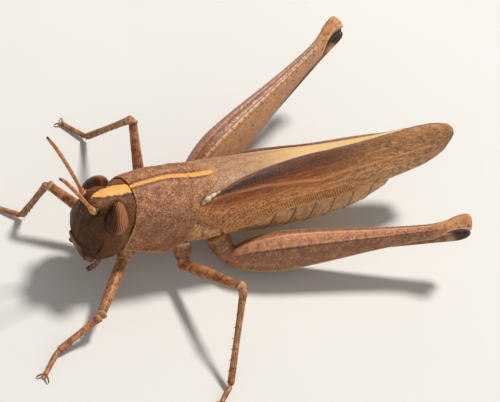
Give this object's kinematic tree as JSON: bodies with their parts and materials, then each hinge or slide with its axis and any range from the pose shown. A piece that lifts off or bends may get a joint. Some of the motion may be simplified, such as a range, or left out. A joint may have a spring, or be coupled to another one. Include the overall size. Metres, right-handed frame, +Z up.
{
  "type": "grasshopper",
  "caption": "Life-size brown grasshopper at rest with closed fore wings, an orange stripe along its back, raised feelers and splayed, folded hind legs.",
  "frame": {"origin": "middle of the model's bounding box, on the floor that its six feet rest on", "axes": "+X along the body from the head towards the tail, +Y to the animal's right, +Z up"},
  "size_m": [0.048, 0.034, 0.0164],
  "materials": {
    "head_cuticle": "satin brown shell with fine speckles",
    "eye": "glossy brown with pale upright stripes",
    "feeler": "matt orange, ringed",
    "mouth_cuticle": "satin brown shell",
    "pronotum_cuticle": "grainy matt brown with an orange middle stripe",
    "thorax_cuticle": "grainy matt brown with seams",
    "abdomen_cuticle": "satin greyish tan",
    "fore_wing": "thin leathery wing, rusty brown with veins, dots and a pale back strip",
    "hind_leg_cuticle": "satin salmon brown with rows of dark dots",
    "leg_cuticle": "satin orange brown with dark dots"
  },
  "bodies": {
    "root": {"head": "head_cuticle", "eye_left": "eye", "eye_right": "eye", "antenna_scape_left": "feeler", "antenna_left": "feeler", "antenna_scape_right": "feeler", "antenna_right": "feeler", "labrum": "mouth_cuticle", "mandible_left": "mouth_cuticle", "mandible_right": "mouth_cuticle", "palp_left": "mouth_cuticle", "palp_right": "mouth_cuticle", "pronotum": "pronotum_cuticle", "thorax": "thorax_cuticle", "abdomen_1": "abdomen_cuticle", "abdomen_2": "abdomen_cuticle", "abdomen_3": "abdomen_cuticle", "abdomen_4": "abdomen_cuticle", "abdomen_5": "abdomen_cuticle", "abdomen_6": "abdomen_cuticle", "abdomen_7": "abdomen_cuticle", "abdomen_8": "abdomen_cuticle", "tegmen_left": "fore_wing", "tegmen_right": "fore_wing", "front_left_coxa": "leg_cuticle", "front_left_femur": "leg_cuticle", "front_left_tibia": "leg_cuticle", "front_left_tarsus": "leg_cuticle", "front_right_coxa": "leg_cuticle", "front_right_femur": "leg_cuticle", "front_right_tibia": "leg_cuticle", "front_right_tarsus": "leg_cuticle", "middle_left_coxa": "leg_cuticle", "middle_left_femur": "leg_cuticle", "middle_left_tibia": "leg_cuticle", "middle_left_tarsus": "leg_cuticle", "middle_right_coxa": "leg_cuticle", "middle_right_femur": "leg_cuticle", "middle_right_tibia": "leg_cuticle", "middle_right_tarsus": "leg_cuticle", "hind_left_coxa": "hind_leg_cuticle", "hind_left_femur": "hind_leg_cuticle", "hind_left_tibia": "hind_leg_cuticle", "hind_left_tarsus": "hind_leg_cuticle", "hind_right_coxa": "hind_leg_cuticle", "hind_right_femur": "hind_leg_cuticle", "hind_right_tibia": "hind_leg_cuticle", "hind_right_tarsus": "hind_leg_cuticle"}
  },
  "joints": []
}
